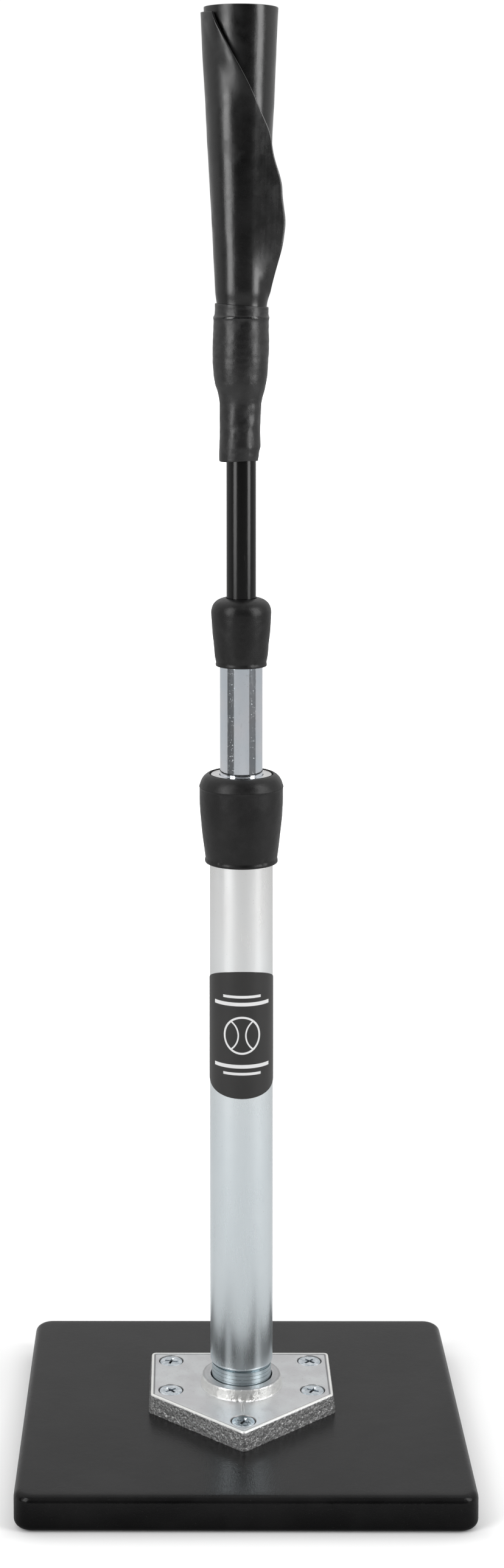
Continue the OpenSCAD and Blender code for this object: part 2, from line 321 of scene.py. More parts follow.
def baseComposite():
    material, w = newMaterial("baseComposite")
    cloud = grain(w, 34, 6).step(0.35, 0.68)
    speck = grain(w, 1.0, 2).step(0.68, 0.76)
    color = mixColors(cloud, grey(0.004, (1, 0.98, 1.02)), grey(0.008, (1, 0.98, 1.01)))
    color = mixColors(speck * 0.5, color, grey(0.03))
    height = grain(w, 0.8, 2) * 0.6 + grain(w, 1.8, 3) * 0.6 + grain(w, 9, 3) * 0.5
    return finished(material, color, 0.13 + 0.1 * grain(w, 5, 4) + 0.05 * cloud,
                    height, 0.13, specular=0.17)


def within(value, edge, soft):  # 1 where value is below edge
    return value.step(edge - soft, edge + soft, 1.0, 0.0)


def labelFilm():
    # UV is the place on the film in mm from its middle
    material, w = newMaterial("labelFilm")
    uv = w.make("ShaderNodeUVMap", {"uv_map": "filmMm"})
    x, y = axisOf(uv, "X"), axisOf(uv, "Y")
    soft = 0.12

    def bar(cy, halfW, halfH):
        beyond = (y - cy).maths("ABSOLUTE")
        return within(x.maths("ABSOLUTE"), halfW, soft) * within(beyond, halfH, soft)

    def circle(cx, r, halfW):
        away = ((x - cx) ** 2 + y ** 2) ** 0.5 - r
        return within(away.maths("ABSOLUTE"), halfW, soft)

    inside = within((x ** 2 + y ** 2) ** 0.5, 10.7, soft)
    white = circle(0, 11, 0.6) + (circle(-12.6, 10.3, 0.45) + circle(12.6, 10.3, 0.45)) * inside
    for cy, halfW, halfH in ((19, 19, 1.1), (23.5, 12, 0.8), (-19, 19, 1.1), (-23.5, 12, 0.8)):
        white = white + bar(cy, halfW, halfH)
    film = mixColors(grain(w, 12, 4), grey(0.022, (1, 0.98, 0.96)), grey(0.03, (1, 0.98, 0.96)))
    color = mixColors(white.maths("MINIMUM", 1.0), film, grey(0.86))
    return finished(material, color, 0.42 + 0.08 * grain(w, 3, 3),
                    grain(w, 1.5, 2), 0.02, specular=0.45)


finishes = {
    "roll": rollRubber(),
    "sleeve": sleeveRubber(),
    "cap": capRubber(),
    "rod": rodBlack(),
    "zinc": zincPlate(),
    "bright": brightPlate(),
    "cast": castZinc(),
    "screw": screwZinc(),
    "thread": threadZinc(),
    "ring": turnedSteel("ringSteel", 0.75, 0.2),
    "clip": turnedSteel("clipSteel", 0.25, 0.35),
    "pin": turnedSteel("pinSteel", 0.5, 0.3),
    "band": turnedSteel("bandSteel", 0.55, 0.35),
    "nylon": mouldedPlastic("guideNylon", (0.78, 0.77, 0.72, 1), 0.42),
    "adapter": mouldedPlastic("adapterPlastic", grey(0.02), 0.45),
    "friction": mouldedPlastic("frictionRubber", grey(0.012), 0.5, 0.6),
    "base": baseComposite(),
    "label": labelFilm(),
}
print("materials made,", len(finishes))


def sizes(node):  # a round node's foot, top and radius in mm
    low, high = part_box(node)
    return low.z / mm, high.z / mm, -low.y / mm


def addPiece(name, mesh, finish, body, replaced=()):
    mesh.name = name
    mesh.materials.clear()
    mesh.materials.append(finishes[finish])
    piece = addObject(name, mesh)
    if body:
        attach(piece, body)
    if replaced:
        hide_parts(*replaced)
    return piece


def smoothMesh(mesh, angle=38):
    mesh.shade_smooth()
    mesh.set_sharp_from_angle(angle=math.radians(angle))
    return mesh


def cleaned(mesh):  # doubled points joined and the faces turned outwards
    work = bmesh.new()
    work.from_mesh(mesh)
    bmesh.ops.remove_doubles(work, verts=work.verts, dist=1e-7)
    bmesh.ops.recalc_face_normals(work, faces=work.faces)
    work.to_mesh(mesh)
    work.free()
    mesh.update()
    return mesh


def meshFrom(points, faces):
    mesh = bpy.data.meshes.new("part")
    mesh.from_pydata([Vector(p) * mm for p in points], [], faces)
    return mesh


def ringFaces(rows, count, around=False):  # between stacked rings, and around back to the first
    faces = []
    for i in range(rows if around else rows - 1):
        low, high = i * count, (i + 1) % rows * count
        for k in range(count):
            n = (k + 1) % count
            faces.append((low + k, low + n, high + n, high + k))
    return faces


def stackedMesh(points, rows, count):  # rings of count points, closed at both ends
    ends = [tuple(range(count)), tuple(range((rows - 1) * count, rows * count))]
    return cleaned(meshFrom(points, ringFaces(rows, count) + ends))


def softened(corners, steps=4):  # corners are (radius, height, rounding)
    points = []
    for i, (x, y, rounding) in enumerate(corners):
        here = Vector((x, y))
        back = Vector(corners[i - 1][:2]) - here
        on = Vector(corners[(i + 1) % len(corners)][:2]) - here
        reach = min(rounding, back.length * 0.48, on.length * 0.48)
        if reach <= 0:
            points.append(here)
            continue
        start = here + back.normalized() * reach
        end = here + on.normalized() * reach
        for k in range(steps + 1):
            t = k / steps
            points.append(start * (1 - t) ** 2 + here * (2 * t * (1 - t)) + end * t * t)
    return points


def divided(points, longest):
    out = []
    for i, p in enumerate(points):
        q = points[(i + 1) % len(points)]
        count = max(1, math.ceil((q - p).length / longest))
        out += [p.lerp(q, k / count) for k in range(count)]
    return out


def lathe(outline, count, swell=None):  # angle 0 is at the front, and grows towards +X
    points = []
    for p in outline:
        for k in range(count):
            angle = math.tau * k / count
            r, z = p.x, p.y
            if swell:
                dr, dz = swell(angle, p.x, p.y)
                r, z = r + dr, z + dz
            points.append((r * math.sin(angle), -r * math.cos(angle), z))
    return cleaned(meshFrom(points, ringFaces(len(outline), count, around=True)))


def lumps(angle, r, z, size, seed=0.0):
    place = Vector((r * math.sin(angle), -r * math.cos(angle), z)) / size
    return noise.noise(place + Vector((seed, seed * 1.7, seed * 0.6)))


def ease(value, low, high):
    t = min(1.0, max(0.0, (value - low) / (high - low)))
    return t * t * (3 - 2 * t)


def hump(value, middle, width):
    return math.exp(-((value - middle) / width) ** 2)


radian = 57.3  # degrees, near enough for where a dent or a fold lies


def turnTo(angle, target):  # the shortest turn between two angles, in degrees
    return abs((math.degrees(angle) - target + 180) % 360 - 180)


base = {"cornerRadius": 11.0, "leastCorner": 3.0, "edgeRadius": 4.5, "faceInset": 8.0,
        "arcSteps": 12, "edgeSteps": 7}


def roundedRing(halfW, halfD, radius, steps, z):
    ring = []
    for k, (sx, sy) in enumerate(((1, 1), (-1, 1), (-1, -1), (1, -1))):
        for j in range(steps + 1):
            angle = math.pi / 2 * (k + j / steps)
            ring.append((sx * (halfW - radius) + radius * math.cos(angle),
                         sy * (halfD - radius) + radius * math.sin(angle), z))
    return ring


def makeBase(s):
    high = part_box("base_plate")[1]
    halfW, halfD, top = high.x / mm, high.y / mm, high.z / mm
    r = s["edgeRadius"]
    levels = []
    for k in range(s["edgeSteps"] + 1):
        angle = math.pi / 2 * k / s["edgeSteps"]
        levels.append((r - r * math.sin(angle), r - r * math.cos(angle)))
    levels += [(inset, top - z) for inset, z in reversed(levels)]
    levels = [(s["faceInset"], 0.0)] + levels + [(s["faceInset"], top)]
    points = []
    for inset, z in levels:
        radius = max(s["cornerRadius"] - inset, s["leastCorner"])
        points += roundedRing(halfW - inset, halfD - inset, radius, s["arcSteps"], z)
    mesh = smoothMesh(stackedMesh(points, len(levels), 4 * (s["arcSteps"] + 1)), 50)
    return addPiece("base_plate_moulded", mesh, "base", "stand", ["base_plate"])


makeBase(base)
print("base plate made")


flange = {
    "width": 111.0, "depth": 110.0, "side": 59.0, "back": 44.5, "cornerRadius": 3.0,
    "draft": 1.2, "bossHeight": 7.0, "bossFoot": 24.8, "bossTop": 23.9, "boreRadius": 18.72,
    "screws": [(-43.2, 33.0), (43.2, 33.0), (-43.2, -8.0), (43.2, -8.0), (0.0, -49.5)],
    "headRadius": 7.1, "headGap": 0.45, "shankRadius": 3.0, "roughness": 0.42,
    # inset from the outline, drop from the top, cast skin, painted shade (above 0) and painted
    # highlight (below 0)
    "rim": [(0.0, 1.1, 0.9, 0), (0.1, 0.62, 0.3, -0.6), (0.4, 0.2, 0.05, -1), (0.9, 0.0, 0.0, -1),
            (1.35, 0.06, 0.0, -0.8), (1.7, 0.3, 0.0, 0.1), (1.95, 0.62, 0.1, 0.7),
            (2.3, 0.62, 0.1, 0.55), (2.7, 0.3, 0.0, 0), (4.0, 0.22, 0.0, 0)],
    "ribWidth": 1.3, "ribHeight": 0.32,
    "nubs": (-9, -3, 4, 10, 15), "nubSize": 2.2,  # turns from the front in degrees
}


def plateRing(s, inset, z, arc=5, pitch=1.0):  # the home-plate outline, moved in by inset
    halfW, back = s["width"] / 2, s["back"]
    corners = [Vector(c) for c in ((-halfW, back), (-halfW, back - s["side"]),
               (0, back - s["depth"]), (halfW, back - s["side"]), (halfW, back))]
    count = len(corners)
    lines = []
    for i in range(count):
        a, b = corners[i], corners[(i + 1) % count]
        inward = Vector((-(b - a).y, (b - a).x)).normalized()
        lines.append((a + inward * inset, (b - a).normalized()))
    moved = []
    for i in range(count):
        (p, d), (q, e) = lines[i - 1], lines[i]
        moved.append(p + d * ((q - p).cross(e) / d.cross(e)))
    radius = max(s["cornerRadius"] - inset, 0.6)
    bends = []
    for i in range(count):
        back1 = (moved[i - 1] - moved[i]).normalized()
        on = (moved[(i + 1) % count] - moved[i]).normalized()
        reach = radius / math.tan(back1.angle(on) / 2)
        start, end = moved[i] + back1 * reach, moved[i] + on * reach
        bends.append([start * (1 - k / arc) ** 2 + moved[i] * (2 * k / arc * (1 - k / arc))
                      + end * (k / arc) ** 2 for k in range(arc + 1)])
    ring = []
    for i in range(count):
        end, stop = bends[i][-1], bends[(i + 1) % count][0]
        steps = max(2, round((corners[(i + 1) % count] - corners[i]).length / pitch))
        ring += bends[i] + [end.lerp(stop, k / steps) for k in range(1, steps)]
    return [(p.x, p.y, z) for p in ring]


def circleRing(cx, cy, r, z, count):
    return [(cx + r * math.cos(math.tau * k / count), cy + r * math.sin(math.tau * k / count), z)
            for k in range(count)]


class PlateShell:  # built from stacked rings, with cast skin and painted shade and highlight kept per vertex
    def __init__(self):
        self.work = bmesh.new()
        self.side = self.work.verts.layers.float.new("castSide")
        self.paintedShadeAndHighlight = self.work.verts.layers.float.new("paintedShadeAndHighlight")

    def stack(self, rings):  # rings are (points, castSide, painted shade and highlight)
        made = []
        for points, side, paintedShadeAndHighlight in rings:
            verts = [self.work.verts.new(Vector(p) * mm) for p in points]
            for v in verts:
                v[self.side], v[self.paintedShadeAndHighlight] = side, paintedShadeAndHighlight
            made.append(verts)
        for a, b in zip(made, made[1:]):
            for k in range(len(a)):
                n = (k + 1) % len(a)
                self.work.faces.new((a[k], a[n], b[n], b[k]))
        return made[0], made[-1]

    def fillFlat(self, loops):
        edges = []
        for loop in loops:
            for k in range(len(loop)):
                pair = (loop[k], loop[(k + 1) % len(loop)])
                edges.append(self.work.edges.get(pair) or self.work.edges.new(pair))
        bmesh.ops.triangle_fill(self.work, use_beauty=True, use_dissolve=False, edges=edges)

    def finish(self, name):
        bmesh.ops.recalc_face_normals(self.work, faces=self.work.faces)
        mesh = bpy.data.meshes.new(name)
        self.work.to_mesh(mesh)
        self.work.free()
        return mesh


def flankRings(s, foot, top):
    levels = 12
    for k in range(levels + 1):
        t = k / levels
        z = foot + (top - s["rim"][0][1] - foot) * t
        rough = s["roughness"] * math.sin(math.pi * (0.1 + 0.86 * t)) ** 0.5
        ring = []
        for x, y, _ in plateRing(s, -s["draft"] * (1 - t), z):
            place = Vector((x, y, z))
            push = rough * (noise.noise(place * 0.8) + 0.8 * noise.noise(place * 1.9))
            outward = Vector((x, y)).normalized() * push
            ring.append((x + outward.x, y + outward.y, z))
        yield ring, 1.0, 0.0


def bossRings(s, foot, top):
    count = 144
    levels = [(s["bossFoot"] + 1.3, top, 0.0, 0), (s["bossFoot"] + 0.4, top + 0.2, 0.3, 0)]
    steps = 9
    for k in range(steps + 1):
        t = k / steps
        levels.append((s["bossFoot"] + (s["bossTop"] - s["bossFoot"]) * t,
                       top + 0.7 + (s["bossHeight"] - 1.3) * t, 0.48, -0.8))
    crown = top + s["bossHeight"]
    levels += [
        (s["bossTop"] - 0.35, crown - 0.12, 0.45, 0.35), (s["bossTop"] - 0.9, crown, 0.45, 0.4),
        (s["bossTop"] - 1.8, crown - 0.05, 0.45, 0.2), (s["bossTop"] - 3.2, crown, 0.45, 0.25),
        (s["boreRadius"] + 0.3, crown, 0.3, 0.1), (s["boreRadius"], crown - 0.3, 0.2, 0.5),
        (s["boreRadius"], foot, 0.1, 1.0),
    ]
    for r, z, side, paintedShadeAndHighlight in levels:
        ring = []
        for x, y, _ in circleRing(0, 0, r, z, count):
            place = Vector((x, y, z))
            push = 0.5 * noise.noise(place * 0.35) + 0.55 * noise.noise(place * 1.3)
            angle = math.atan2(x, -y)
            for nub in s["nubs"]:
                push += s["nubSize"] * hump(turnTo(angle, nub), 0, 1.6) * hump(z, top + 0.4, 1.1)
            scale = 1 + push * side / r
            ring.append((x * scale, y * scale, z))
        yield ring, side, paintedShadeAndHighlight


def ribRings(s, top):  # the casting's seam, from the boss to the front screw
    start, end = -s["bossFoot"] - 0.6, s["screws"][-1][1] + s["headRadius"] + 1.0
    steps = 16
    for k in range(steps + 1):
        y = start + (end - start) * k / steps
        taper = math.sin(math.pi * (0.06 + 0.88 * k / steps)) ** 0.4
        wide = s["ribWidth"] * taper * (1 + 0.35 * noise.noise(Vector((7, y * 0.6, 0))))
        tall = s["ribHeight"] * taper * (1 + 0.5 * noise.noise(Vector((0, y * 0.9, 5))))
        ring = []
        for j in range(10):
            a = math.tau * j / 10
            ring.append((wide * math.cos(a), y, top - 0.12 + tall * math.sin(a)))
        yield ring, 0.5, 0.2


def makeFlange(s):
    low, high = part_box("flange")
    foot = low.z / mm
    top = high.z / mm - s["bossHeight"]
    shell = PlateShell()
    rings = list(flankRings(s, foot, top))
    for inset, drop, side, paintedShadeAndHighlight in s["rim"][1:]:
        rings.append((plateRing(s, inset, top - drop), side, paintedShadeAndHighlight))
    plateTop = top - s["rim"][-1][1]
    ends = [shell.stack(rings)]
    bossFoot, bossBore = shell.stack(bossRings(s, foot, plateTop))
    ends.append((bossBore, bossFoot))
    for x, y in s["screws"]:
        head, shank = s["headRadius"] + s["headGap"], s["shankRadius"] + 0.05
        pocket = [(head + 0.35, plateTop, 0.0, 0.0), (head, plateTop - 0.3, 0.1, 0.7),
                  (head - 0.2, plateTop - 0.9, 0.1, 1.0),
                  (shank, plateTop - 0.9 - (head - shank), 0.0, 1.0), (shank, foot, 0.0, 1.0)]
        up, down = shell.stack([(circleRing(x, y, r, z, 40), side, paintedShadeAndHighlight)
                                for r, z, side, paintedShadeAndHighlight in pocket])
        ends.append((down, up))
    shell.fillFlat([upper for lower, upper in ends])
    shell.fillFlat([lower for lower, upper in ends])
    start, stop = shell.stack(ribRings(s, plateTop))
    shell.work.faces.new(start)
    shell.work.faces.new(stop)
    mesh = smoothMesh(shell.finish("flange"), 32)
    return addPiece("flange_cast", mesh, "cast", "stand", ["flange"])


makeFlange(flange)
print("flange made")


def newTree(name, inputs):
    tree = bpy.data.node_groups.new(name, "GeometryNodeTree")
    tree.interface.new_socket(name="Geometry", in_out="OUTPUT", socket_type="NodeSocketGeometry")
    names = {}
    for label, kind in inputs:
        made = tree.interface.new_socket(name=label, in_out="INPUT", socket_type=kind)
        names[label] = made.identifier
    source = tree.nodes.new("NodeGroupInput")
    wires = {label: Wire(tree, source.outputs[label]) for label, kind in inputs}
    return tree, names, wires


def endTree(tree, geometry, material):
    realized = geometry.make("GeometryNodeRealizeInstances", None, {"Geometry": geometry})
    painted = geometry.make("GeometryNodeSetMaterial", None, {
        "Geometry": realized, "Material": material})
    end = tree.nodes.new("NodeGroupOutput")
    tree.links.new(painted.socket, end.inputs["Geometry"])


def applyModifiers(mesh, addThem):  # keeps a plain mesh of what the modifiers make
    host = addObject("host", mesh)
    addThem(host)
    bpy.context.view_layer.update()
    ready = host.evaluated_get(bpy.context.evaluated_depsgraph_get())
    made = bpy.data.meshes.new_from_object(ready)
    bpy.data.objects.remove(host)
    return made


def growMesh(tree, names, values):  # runs the tree once
    def addTree(host):
        modifier = host.modifiers.new("grow", "NODES")
        modifier.node_group = tree
        for label, value in values.items():
            modifier[names[label]] = value

    return applyModifiers(bpy.data.meshes.new("host"), addTree)


screw = {"headRadius": 7.1, "headHeight": 4.1, "shankRadius": 2.95, "length": 26.0,
         "sink": 0.15, "slotWidth": 1.7, "slotReach": 4.4, "slotDepth": 2.8, "around": 40,
         "seed": 4}


def crossCutter(s):
    points = []
    for z, w, reach in ((0.5, s["slotWidth"] / 2, s["slotReach"]),
                        (-s["slotDepth"], s["slotWidth"] / 4, s["slotReach"] * 0.42)):
        for k in range(4):
            for x, y in ((w, -w), (reach, -w), (reach, w)):
                a = math.pi / 2 * k
                points.append((x * math.cos(a) - y * math.sin(a), x * math.sin(a) + y * math.cos(a), z))
    return stackedMesh(points, 2, 12)


def screwMesh(s):
    r, shank, l = s["headRadius"], s["shankRadius"], s["length"]
    outline = softened([
        (0.4, 0, 0), (r - 0.5, 0, 0), (r, -0.35, 0.3), (r - 0.1, -0.7, 0.2),
        (shank, -s["headHeight"], 0.6), (shank, -l + 2, 0), (0.4, -l, 0)])
    points = []
    for p in outline:
        points += circleRing(0, 0, p.x, p.y, s["around"])
    body = stackedMesh(points, len(outline), s["around"])
    cutter = addObject("cutter", crossCutter(s))

    def cut(host):
        modifier = host.modifiers.new("cut", "BOOLEAN")
        modifier.operation = "DIFFERENCE"
        modifier.object = cutter
        modifier.solver = "EXACT"

    made = applyModifiers(body, cut)
    bpy.data.objects.remove(cutter)
    return smoothMesh(made, 32)


def makeScrews(s):
    tree, names, wires = newTree("screwRow", [
        ("Places", "NodeSocketObject"), ("Screw", "NodeSocketObject"), ("Seed", "NodeSocketInt")])
    w = Wire(tree)
    info = {"transform_space": "ORIGINAL"}
    places = w.make("GeometryNodeObjectInfo", info, {"Object": wires["Places"]}, "Geometry")
    one = w.make("GeometryNodeObjectInfo", info, {"Object": wires["Screw"]}, "Geometry")
    turn = w.make("FunctionNodeRandomValue", {"data_type": "FLOAT"}, {
        2: 0.0, 3: math.tau, "Seed": wires["Seed"]}, 1)
    points = w.make("GeometryNodeMeshToPoints", None, {"Mesh": places})
    laid = w.make("GeometryNodeInstanceOnPoints", None, {
        "Points": points, "Instance": one, "Rotation": combined(w, Z=turn)})
    endTree(tree, laid, finishes["screw"])
    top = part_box("flange_screws")[1].z / mm - s["sink"]
    pointMesh = meshFrom([(x, y, top) for x, y in flange["screws"]], [])
    helpers = [addObject("places", pointMesh),
               addObject("oneScrew", screwMesh(s))]
    mesh = growMesh(tree, names, {"Places": helpers[0], "Screw": helpers[1], "Seed": s["seed"]})
    for helper in helpers:
        bpy.data.objects.remove(helper)
    return addPiece("flange_screws_countersunk", mesh, "screw", "stand",
                    ["flange_screws"])


makeScrews(screw)
print("screws made")


lowerTube = {"wall": 2.0, "threadTop": 48.5, "threadFoot": 23.0, "rootRadius": 17.5,
             "crestRadius": 18.7, "pitch": 2.21, "runOut": 1.4,
             # the thread's profile, in shares of its depth and pitch
             "profile": [(-0.5, 0.46), (1.0, 0.09), (1.0, -0.09), (-0.5, -0.46)]}


def makeLowerTube(s):
    foot, top, r = sizes("lower_tube")
    bore = r - s["wall"]
    outline = divided(softened([
        (bore, foot, 0.2), (s["rootRadius"], foot, 0.4),
        (s["rootRadius"], s["threadTop"] - s["runOut"], 0.3),
        (r - 0.25, s["threadTop"], 0.5), (r, s["threadTop"] + 0.8, 0.5), (r, top, 0.3),
        (bore, top, 0.3)]), 30)
    mesh = smoothMesh(lathe(outline, 128))
    addPiece("lower_tube_plated", mesh, "zinc", "stand", ["lower_tube"])

    values = {
        "Foot": s["threadFoot"] * mm, "Height": (s["threadTop"] - 1.6 - s["threadFoot"]) * mm,
        "Pitch": s["pitch"] * mm, "Root": s["rootRadius"] * mm, "Crest": s["crestRadius"] * mm}
    tree, names, wires = newTree("threadTurns", [(label, "NodeSocketFloat") for label in values])
    w = Wire(tree)
    turns = wires["Height"] / wires["Pitch"]
    spiral = w.make("GeometryNodeCurveSpiral", None, {
        "Resolution": 96, "Rotations": turns, "Start Radius": wires["Root"],
        "End Radius": wires["Root"], "Height": wires["Height"]})
    depth = wires["Crest"] - wires["Root"]
    raised = w.make("GeometryNodeSetPosition", None, {
        "Geometry": spiral, "Offset": combined(w, Z=wires["Foot"])})
    upright = w.make("GeometryNodeSetCurveNormal", {"mode": "Z_UP"}, {"Curve": raised})
    corners = {f"Point {k}": combined(w, X=depth * out, Y=wires["Pitch"] * along)
               for k, (out, along) in enumerate(s["profile"], 1)}
    section = w.make("GeometryNodeCurvePrimitiveQuadrilateral", {"mode": "POINTS"}, corners)
    swept = w.make("GeometryNodeCurveToMesh", None, {
        "Curve": upright, "Profile Curve": section, "Fill Caps": True})
    endTree(tree, swept, finishes["thread"])
    thread = growMesh(tree, names, values)
    addPiece("lower_tube_thread", smoothMesh(thread, 30), "thread", "stand")


makeLowerTube(lowerTube)

label = {"width": 98.0, "height": 77.6, "rings": 26, "spokes": 128}


def makeLabel(s):
    low, high, outer = sizes("tube_label")
    middle = (low + high) / 2
    inner = sizes("lower_tube")[2] + 0.02
    points, flat, faces = [], [], []
    for r in (outer, inner):
        for i in range(s["rings"] + 1):
            share = i / s["rings"]
            for k in range(s["spokes"]):
                angle = math.tau * k / s["spokes"]
                u = s["width"] / 2 * share * math.cos(angle)
                v = s["height"] / 2 * share * math.sin(angle)
                turn = u / outer
                points.append((r * math.sin(turn), -r * math.cos(turn), middle + v))
                flat.append((u, v))
    count, layer = s["spokes"], (s["rings"] + 1) * s["spokes"]
    for i in range(s["rings"]):
        for k in range(count):
            n = (k + 1) % count
            quad = (i * count + k, (i + 1) * count + k, (i + 1) * count + n, i * count + n)
            faces.append(quad)
            faces.append(tuple(layer + q for q in reversed(quad)))
    edge = s["rings"] * count
    for k in range(count):
        n = (k + 1) % count
        faces.append((edge + k, layer + edge + k, layer + edge + n, edge + n))
    mesh = meshFrom(points, faces)
    uv = mesh.uv_layers.new(name="filmMm")
    for loop in mesh.loops:
        uv.data[loop.index].uv = flat[loop.vertex_index]
    return addPiece("tube_label_film", smoothMesh(cleaned(mesh)), "label", "stand",
                    ["tube_label"])


makeLabel(label)
print("lower tube and label made")


ring = {"innerRadius": 13.2, "chamfer": 0.5}


def makeRing(s):
    foot, top, r = sizes("lower_ring")
    outline = softened([
        (s["innerRadius"], foot, 0.2), (r, foot, 0.2), (r, top - 0.9, 0.4), (r - 0.9, top, 0.4),
        (s["innerRadius"] + s["chamfer"], top, 0.3), (s["innerRadius"], top - s["chamfer"], 0.3)])
    mesh = smoothMesh(lathe(outline, 128), 45)
    return addPiece("lower_ring_turned", mesh, "ring", "stand", ["lower_ring"])


makeRing(ring)

lowerCap = {
    # inset from the widest radius, height above the foot, rounding
    "side": [(3.55, 0.0, 0.5), (3.4, 1.2, 0.5), (3.8, 2.6, 1.0), (3.35, 6.0, 3.0), (2.4, 13.0, 4.0),
             (1.6, 20.4, 4.0), (0.75, 28.0, 4.0), (0.4, 35.0, 4.0), (0.28, 43.0, 1.5),
             (0.2, 45.2, 0.3), (0.0, 45.8, 0.3), (0.02, 46.4, 0.3), (0.45, 47.3, 0.6),
             (1.2, 49.6, 2.0), (2.7, 52.0, 2.0), (4.6, 53.5, 1.6)],
    "mouth": 0.15, "dents": [(-38, 3.4, 1.3), (38, 3.4, 1.3)], "dentDepth": 0.55, "seed": 3.0,
}
middleCap = {
    "side": [(2.75, 0.0, 0.4), (2.62, 1.0, 0.4), (2.95, 2.2, 0.8), (2.2, 5.5, 2.0),
             (1.65, 12.2, 3.0), (0.8, 19.6, 3.0), (0.25, 27.0, 3.0), (0.0, 32.4, 1.5),
             (0.15, 34.3, 1.5), (0.85, 36.6, 1.6), (2.5, 38.8, 2.0), (5.0, 40.3, 2.0),
             (7.4, 41.0, 1.4)],
    "mouth": 0.3, "dents": [(-32, 6.0, 1.6), (28, 3.4, 1.1)], "dentDepth": 0.5, "seed": 7.0,
}


def capOutline(s, foot, top, widest, bore, stepRadius, stepZ):
    corners = [(widest - inset, foot + rise, soft) for inset, rise, soft in s["side"]]
    mouth = stepRadius + s["mouth"]
    corners += [(mouth + 0.35, top, 0.3), (mouth, top - 0.5, 0.3)]
    if stepRadius < bore:
        corners += [(mouth, stepZ + 0.05, 0), (bore, stepZ + 0.05, 0)]
    corners += [(bore, foot + 0.3, 0.2), (bore + 0.3, foot, 0.2)]
    return divided(softened(corners), 1.2)


def capSwell(s, foot, bore):
    def swell(angle, r, z):
        if r < bore + 1.5:
            return 0.0, 0.0
        offset = 0.16 * lumps(angle, r, z, 9, s["seed"]) + 0.05 * lumps(angle, r, z, 2.5, s["seed"])
        for place, rise, size in s["dents"]:
            across = turnTo(angle, place) / radian * r
            offset -= s["dentDepth"] * hump(across, 0, size) * hump(z - foot, rise, size * 1.5)
        return offset, 0.0
    return swell


def makeCaps():
    foot, top, r = sizes("lower_cap")
    tube = sizes("lower_tube")[2]
    bore = tube + 0.1
    outline = capOutline(lowerCap, foot, top, r, bore, tube, top)
    mesh = smoothMesh(lathe(outline, 144, capSwell(lowerCap, foot, bore)), 60)
    addPiece("lower_cap_moulded", mesh, "cap", "stand", ["lower_cap"])
    foot, top, r = sizes("middle_cap")
    bore = sizes("middle_tube")[2] + 0.02
    outline = capOutline(middleCap, foot, top, r, bore, sizes("rod")[2], sizes("middle_tube")[1])
    mesh = smoothMesh(lathe(outline, 128, capSwell(middleCap, foot, bore)), 60)
    addPiece("middle_cap_moulded", mesh, "cap", "middle_stage", ["middle_cap"])


makeCaps()
print("ring and caps made")


tubes = {"middleWall": 1.8, "rodWall": 1.5, "grooveDepth": 0.8, "clipHeight": 1.5}


def tubeMesh(s, node, wall, clips, count):
    foot, top, r = sizes(node)
    low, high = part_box(clips)
    corners = [(r - wall, foot, 0.3), (r, foot, 0.3)]
    for z in (low.z / mm, high.z / mm - s["clipHeight"]):
        corners += [(r, z, 0), (r - s["grooveDepth"], z, 0),
                    (r - s["grooveDepth"], z + s["clipHeight"], 0), (r, z + s["clipHeight"], 0)]
    corners += [(r, top, 0.3), (r - wall, top, 0.3)]
    return smoothMesh(lathe(divided(softened(corners), 20), count))


def makeTubes(s):
    middle = tubeMesh(s, "middle_tube", s["middleWall"], "middle_clips", 128)
    addPiece("middle_tube_plated", middle, "bright", "middle_stage", ["middle_tube"])
    rod = tubeMesh(s, "rod", s["rodWall"], "rod_clips", 96)
    addPiece("rod_coated", rod, "rod", "rod_stage", ["rod"])


makeTubes(tubes)
print("middle tube and rod made")


sleeve = {
    # height above the foot, radius on the left and on the right
    "side": [(0.0, 13.1, 9.9), (4.5, 13.2, 10.6), (9.5, 13.15, 11.6), (14.0, 12.95, 11.5),
             (19.0, 12.85, 11.4), (27.0, 12.85, 11.6), (34.5, 12.9, 11.95), (38.0, 13.3, 12.7),
             (42.0, 14.2, 13.9), (46.0, 15.6, 14.9), (50.5, 16.3, 15.5), (58.0, 16.95, 16.15),
             (66.0, 17.1, 16.5), (75.0, 16.8, 16.45), (84.0, 16.45, 16.4), (86.5, 16.4, 16.45),
             (87.8, 15.8, 16.2), (90.5, 15.6, 16.15), (94.5, 15.65, 16.15)],
    "wall": 0.9, "topTilt": 2.3, "tiltHeight": 6.0, "footWave": 0.9, "waveHeight": 5.0,
    "leastBore": 10.75,  # beside the adapter
    "lumpRadius": 16.0, "largeLump": 0.22, "smallLump": 0.1, "ripple": 0.035,
    "crest": (0.34, 86.0, 0.9),  # how far out, height above the foot, width
    "foldRadius": 13.0, "foldSlant": 0.6, "foldReach": 5.5,
    # height above the foot, turn from the front in degrees, size and depth of the folds
    "folds": [(24, 40, 3.4, 0.3), (29, 24, 3.0, -0.2), (34, 52, 3.0, 0.25), (12, 30, 4.0, -0.25),
              (40, -30, 3.6, -0.2), (18, -8, 4.0, 0.2), (7, 60, 3.4, 0.25)],
}


